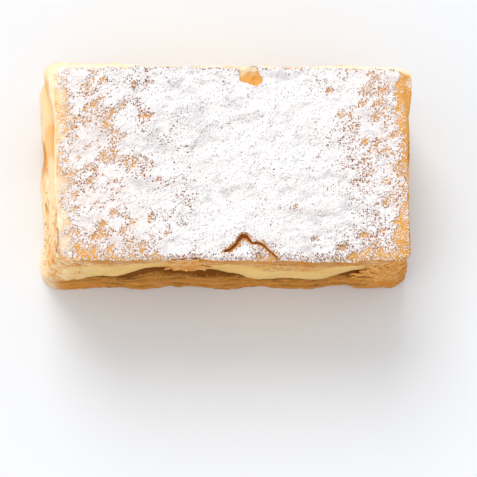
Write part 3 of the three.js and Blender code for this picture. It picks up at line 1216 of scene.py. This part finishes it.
def sugar_dust(given, made):
    """Fine sugar caught on what faces up."""
    tree = given["Place"].id_data
    normal = tree.nodes.new("ShaderNodeNewGeometry").outputs["Normal"]
    upward = add_range(add_node(tree, "ShaderNodeSeparateXYZ", Vector=normal).outputs["Z"], 0.1, 0.8)
    specks = add_noise(given["Place"], 0.28 * MM, 2.0, 0.6)
    clouds = add_noise(given["Place"], 3.5 * MM, 2.0)
    level = plus(specks, times(minus(clouds, 0.5), 0.7))
    threshold = minus(0.92, times(given["Amount"], 0.62))
    shown = times(add_range(minus(level, threshold), -0.03, 0.05), upward)
    feed(made["Mask"], shown)
    feed(made["Colour"], add_mix(shown, given["Under"], given["Sugar"]))


def fine_grain(given, made):
    """Fine relief for a Bump node, from two noises whose scales are given."""
    tree = given["Place"].id_data
    coarse = add_node(tree, "ShaderNodeTexNoise", Vector=given["Place"], Scale=given["Coarse"], Detail=2.0)
    fine = add_node(tree, "ShaderNodeTexNoise", Vector=given["Place"], Scale=given["Fine"], Detail=3.0)
    feed(made["Height"], plus(coarse.outputs["Fac"], times(fine.outputs["Fac"], 0.45)))


# What each group is given besides the place, and what it makes.
GROUPS = {
    browning: (
        {"Tone": "Float", "Pale": "Color", "Golden": "Color", "Browned": "Color", "Unevenness": "Float"},
        {"Colour": "Color", "Tone": "Float"},
    ),
    sugar_dust: (
        {"Under": "Color", "Sugar": "Color", "Amount": "Float"},
        {"Colour": "Color", "Mask": "Float"},
    ),
    fine_grain: ({"Coarse": "Float", "Fine": "Float"}, {"Height": "Float"}),
}


def use_group(fill, place, **inputs):
    """The outputs of a node group at a place. The group is made the first time it is used."""
    group = bpy.data.node_groups.get(fill.__name__)
    if not group:
        group = bpy.data.node_groups.new(fill.__name__, "ShaderNodeTree")
        given, made = GROUPS[fill]
        for direction, sockets in (("INPUT", {"Place": "Vector", **given}), ("OUTPUT", made)):
            for name, kind in sockets.items():
                group.interface.new_socket(name, in_out=direction, socket_type="NodeSocket" + kind)
        fill(group.nodes.new("NodeGroupInput").outputs, group.nodes.new("NodeGroupOutput").inputs)
    node = place.id_data.nodes.new("ShaderNodeGroup")
    node.node_tree = group
    for name, value in {"Place": place, **inputs}.items():
        feed(node.inputs[name], value)
    return node.outputs


def baked_colour(place, pastry, unevenness):
    """The browning of pastry by the piece's own tone."""
    colours = {"Pale": pastry.pale, "Golden": pastry.golden, "Browned": pastry.browned}
    tone = attribute_value(place, "tone")
    return use_group(browning, place, Tone=tone, Unevenness=unevenness, **colours)


# ---------------------------------------------------------------- materials


def pastry_material(name, settings, dust):
    """Baked leaves, with noise drawn out along them."""
    material, shader, place = new_material(name)
    mapping = add_node(place.id_data, "ShaderNodeMapping", Vector=place, Scale=(1, 1, 3.5))
    flattened = mapping.outputs["Vector"]
    baked = baked_colour(flattened, settings, 0.8)
    sugar = bpy.context.scene.slice_sugar.colour
    dusted = use_group(sugar_dust, place, Under=baked["Colour"], Sugar=sugar, Amount=dust)
    grain = use_group(fine_grain, flattened, Coarse=1100.0, Fine=4200.0)
    roughness = add_range(baked["Tone"], 0.0, 1.0, 0.78, 0.5)
    connect(shader, dusted["Colour"], roughness, 0.2, grain["Height"], 0.12 * MM)
    return material


def crust_material(settings, sugar):
    """The crust under the sugar, dusted by its own attribute and darkened inside the crack with a burnt
    colour that is partly painted shade.
    """
    material, shader, place = new_material("top_crust")
    baked = baked_colour(place, settings, 1.25)
    dusting = attribute_value(place, "dusting")
    dusted = use_group(sugar_dust, place, Under=baked["Colour"], Sugar=sugar.colour, Amount=dusting)
    grain = use_group(fine_grain, place, Coarse=900.0, Fine=3800.0)
    burnt_and_shaded = add_range(attribute_value(place, "tone"), 0.75, 0.95)
    colour = add_mix(burnt_and_shaded, dusted["Colour"], settings.burnt_and_shaded)
    roughness = add_range(dusted["Mask"], 0.0, 1.0, 0.5, 0.85)
    connect(shader, colour, roughness, 0.25, grain["Height"], 0.16 * MM)
    return material


def cream_material(settings):
    material, shader, place = new_material("custard_cream")
    cloud = add_noise(place, 9 * MM, 3.0)
    speck = add_noise(place, 1.2 * MM, 3.0)
    split = add_node(place.id_data, "ShaderNodeSeparateXYZ", Vector=place)
    along, across = split.outputs["X"], split.outputs["Y"]
    rich = tint(settings.colour, 0.95, 0.87, 0.7)
    light = tint(settings.colour, 1.03, 1.05, 1.12)
    colour = add_mix(add_range(cloud, 0.35, 0.7), settings.colour, rich)
    colour = add_mix(add_range(speck, 0.55, 0.75, 0, 0.5), colour, light)

    # The left end, paler and toasted in patches.
    toasted = tint(settings.end_colour, 0.94, 0.72, 0.46)
    scorched = times(add_range(across, 0.0, 7 * MM), add_range(across, 16 * MM, 10 * MM))
    patchy = plus(times(cloud, 0.8), times(scorched, 0.52))
    colouring = add_mix(add_range(patchy, 0.44, 0.8), settings.end_colour, toasted)
    colour = add_mix(add_range(along, -48 * MM, -55 * MM, 0, 0.9), colour, colouring)

    # Baked crumbs that stick to the cream under the top sheet, most of all right of the middle, mixed with
    # painted shade under the top sheet's overhang.
    baked = tint(settings.colour, 0.72, 0.44, 0.22)
    smear_and_shade = times(add_range(along, 6 * MM, 14 * MM), add_range(along, 34 * MM, 24 * MM))
    crumbs_and_shade = plus(plus(attribute_value(place, "share"), times(cloud, 0.3)), times(smear_and_shade, 0.17))
    crumbs = times(add_range(crumbs_and_shade, 0.93, 1.12), add_range(speck, 0.35, 0.6, 0.2, 0.95))
    crumbs = times(crumbs, add_range(along, -54 * MM, -50 * MM))
    colour = add_mix(crumbs, colour, baked)

    grain = use_group(fine_grain, place, Coarse=700.0, Fine=2600.0)
    connect(shader, colour, add_range(speck, 0.2, 0.8, 0.4, 0.6), 0.5, grain["Height"], 0.1 * MM)
    feed(shader["Subsurface Weight"], 0.25)
    feed(shader["Subsurface Radius"], (1.0, 0.7, 0.35))
    feed(shader["Subsurface Scale"], 2 * MM)
    return material


def sugar_material(settings, pastry):
    """Sugar with painted shade in streaky grey clouds, pink where it thins out, and the crust where it is
    gone, with painted shade in its pits.
    """
    material, shader, place = new_material("icing_sugar")
    depth = attribute_value(place, "depth")
    bare = attribute_value(place, "bare")
    turned = {"Vector": place, "Rotation": (0, 0, -STREAK_ANGLE), "Scale": (0.4, 1, 1)}
    streaks = add_node(place.id_data, "ShaderNodeMapping", **turned).outputs["Vector"]
    fine = add_noise(place, 0.35 * MM, 2.0, 0.6)
    clouds = add_noise(streaks, 3.0 * MM, 5.0, 0.62)
    banks = add_noise(streaks, 9 * MM, 2.0)
    gap, halo = pinholes(place, bare)

    pink = tint(settings.colour, 0.97, 0.8, 0.71)
    thin = tint(settings.colour, 0.9, 0.64, 0.5)
    greyed = tint(settings.colour, 0.75, 0.715, 0.73)
    painted_pit_shade_mauve = paint(134, 104, 100)
    painted_pit_shade_russet = paint(166, 98, 64)
    # Painted shade: grey streaky clouds stand in for the shading of the sugar's relief.
    clouds = plus(clouds, times(minus(banks, 0.5), 0.5))
    painted_shade_clouds = plus(minus(clouds, times(bare, 0.5)), times(minus(fine, 0.5), 0.35))
    speckled = plus(depth, times(minus(fine, 0.5), 0.3))
    colour = add_mix(add_range(painted_shade_clouds, 0.42, 0.72), settings.colour, greyed)
    colour = add_mix(add_range(bare, 0.1, 0.5, 0, 0.25), colour, pink)
    colour = add_mix(add_range(speckled, 0.03, 0.3), pink, colour)
    colour = add_mix(halo, colour, thin)

    crust = baked_colour(place, pastry, 1.25)["Colour"]
    # Painted shade: pits and pinholes show mauve-grey and reddish brown, the crust seen in shadow, and the
    # crust's own colour where it lies bare.
    under = add_mix(add_range(bare, 0.04, 0.16), painted_pit_shade_mauve, painted_pit_shade_russet)
    under = add_mix(add_range(bare, 0.26, 0.65), under, crust)
    hollow = add_math("MAXIMUM", add_range(speckled, 0.04, -0.06), gap)
    colour = add_mix(hollow, colour, under)

    grain = use_group(fine_grain, place, Coarse=1500.0, Fine=5000.0)
    height = minus(grain["Height"], times(gap, 1.2))
    connect(shader, colour, add_range(fine, 0.3, 0.7, 0.8, 0.95), 0.25, height, 0.2 * MM)
    return material


def pinholes(place, bare):
    """Two masks: the pinholes between grains of sugar, more of them in barer places, and their edges."""
    tree = place.id_data
    offset = times(minus(add_noise(place, 0.5 * MM, 1.0), 0.5), 0.5 * MM)
    shift = add_node(tree, "ShaderNodeCombineXYZ", X=offset, Y=offset)
    bent = add_node(tree, "ShaderNodeVectorMath", Vector=place)
    bent.operation = "ADD"
    feed(bent.inputs[1], shift.outputs[0])
    cells = add_node(tree, "ShaderNodeTexVoronoi", Vector=bent.outputs[0], Scale=1 / (0.62 * MM))
    cells.voronoi_dimensions = "2D"
    random = add_node(tree, "ShaderNodeSeparateColor", Color=cells.outputs["Color"])
    there = add_range(minus(times(bare, 2.3), random.outputs[0]), -0.12, 0.25)
    radius = times(there, add_range(random.outputs[1], 0.0, 1.0, 0.18, 0.42))
    depth = minus(radius, cells.outputs["Distance"])
    edges = times(add_range(depth, -0.26, 0.0), times(there, 0.55))
    return add_range(depth, -0.06, 0.08), edges


def grain_material(settings):
    material, shader, place = new_material("sugar_grains")
    greyed = tint(settings.colour, 0.93, 0.93, 0.93)
    grain = use_group(fine_grain, place, Coarse=2500.0, Fine=6000.0)
    colour = add_mix(add_noise(place, 0.5 * MM, 1.0), settings.colour, greyed)
    connect(shader, colour, 0.85, 0.25, grain["Height"], 0.08 * MM)
    return material


# ---------------------------------------------------------------- stage

# The way from the crust's middle to the lens, the width of the view there, and how far the aim lies from
# that middle, to the right and down in the view.
LENS_WAY = (-0.104, -0.208, 1)
VIEW_WIDTH = 148.6
AIM_RIGHT = 1.56
AIM_DOWN = 23.68
FLOOR_RADIUS = 3000


class SLICE_OT_stage(bpy.types.Operator):
    """Sets the floor, the light and the camera"""

    bl_idname = "slice.stage"
    bl_label = "Stage"

    def execute(self, context):
        settings = context.scene.slice_stage
        self.floor(settings)
        self.light(context.scene, settings)
        self.camera(context.scene, settings)
        context.scene.view_settings.view_transform = "Standard"
        return {"FINISHED"}

    def floor(self, settings):
        deselect_everything()
        bpy.ops.mesh.primitive_circle_add(vertices=96, radius=FLOOR_RADIUS * MM, fill_type="NGON")
        floor = bpy.context.object
        floor.name = "floor"
        material, shader, place = new_material("floor")
        darker = tint(settings.floor_colour, 0.985, 0.985, 0.985)
        connect(shader, add_mix(add_noise(place, 60 * MM, 3.0), settings.floor_colour, darker), 0.7, 0.2)
        floor.data.materials.append(material)

    def light(self, scene, settings):
        scene.world = bpy.data.worlds.new("studio")
        scene.world.use_nodes = True
        background = scene.world.node_tree.nodes["Background"]
        background.inputs["Color"].default_value = (1, 1, 1, 1)
        background.inputs["Strength"].default_value = settings.fill_strength
        self.sun(scene, "key_light", settings.key_strength, 36, (1.0, 0.995, 0.985), (-0.34, 1.12, 1.0))
        self.sun(scene, "low_light", settings.low_strength, 60, (1.0, 0.86, 0.66), (-1.0, -0.4, 0.25))

    def sun(self, scene, name, strength, spread, colour, towards_light):
        """A sun of that many degrees across."""
        lamp = bpy.data.objects.new(name, bpy.data.lights.new(name, "SUN"))
        lamp.data.energy = strength
        lamp.data.angle = math.radians(spread)
        lamp.data.color = colour
        lamp.rotation_mode = "QUATERNION"
        lamp.rotation_quaternion = Vector(towards_light).to_track_quat("Z", "Y")
        scene.collection.objects.link(lamp)

    def camera(self, scene, settings):
        """Looks steeply down at the front of the slice, with its length level in the view."""
        towards_lens = Vector(LENS_WAY).normalized()
        right = (Vector((1, 0, 0)) - towards_lens * towards_lens.x).normalized()
        up = towards_lens.cross(right)
        aim = Vector((0, 0, SLICE_HEIGHT * MM)) + right * AIM_RIGHT * MM - up * AIM_DOWN * MM
        camera = bpy.data.objects.new("camera", bpy.data.cameras.new("camera"))
        turned = Matrix((right, up, towards_lens)).transposed().to_4x4()
        turned.translation = aim + towards_lens * settings.distance
        camera.matrix_world = turned
        camera.data.lens = camera.data.sensor_width * settings.distance / (VIEW_WIDTH * MM)
        scene.collection.objects.link(camera)
        scene.camera = camera


# ---------------------------------------------------------------- add-on


class SLICE_PT_panel(bpy.types.Panel):
    """Lists the pieces of the slice"""

    bl_label = "Mille feuille slice"
    bl_space_type = "VIEW_3D"
    bl_region_type = "UI"
    bl_category = "Slice"

    def draw(self, context):
        for operator in OPERATORS:
            self.layout.operator(operator.bl_idname)


SETTINGS = {
    "slice_pastry": PastrySettings,
    "slice_cream": CreamSettings,
    "slice_sugar": SugarSettings,
    "slice_stage": StageSettings,
}
OPERATORS = (
    SLICE_OT_stage,
    SLICE_OT_base_pastry,
    SLICE_OT_custard_cream,
    SLICE_OT_top_pastry,
    SLICE_OT_pastry_flakes,
    SLICE_OT_pastry_crumbs,
    SLICE_OT_icing_sugar,
    SLICE_OT_sugar_grains,
)


def register():
    for name, group in SETTINGS.items():
        bpy.utils.register_class(group)
        setattr(bpy.types.Scene, name, PointerProperty(type=group))
    for operator in OPERATORS:
        bpy.utils.register_class(operator)
    bpy.utils.register_class(SLICE_PT_panel)


def unregister():
    bpy.utils.unregister_class(SLICE_PT_panel)
    for operator in reversed(OPERATORS):
        bpy.utils.unregister_class(operator)
    for name, group in SETTINGS.items():
        delattr(bpy.types.Scene, name)
        bpy.utils.unregister_class(group)


def main():
    register()
    bpy.ops.slice.stage()
    bpy.ops.slice.base_pastry()
    bpy.ops.slice.custard_cream()
    bpy.ops.slice.top_pastry()
    bpy.ops.slice.pastry_flakes()
    bpy.ops.slice.pastry_crumbs()
    bpy.ops.slice.icing_sugar()
    bpy.ops.slice.sugar_grains()


if __name__ == "__main__":
    main()
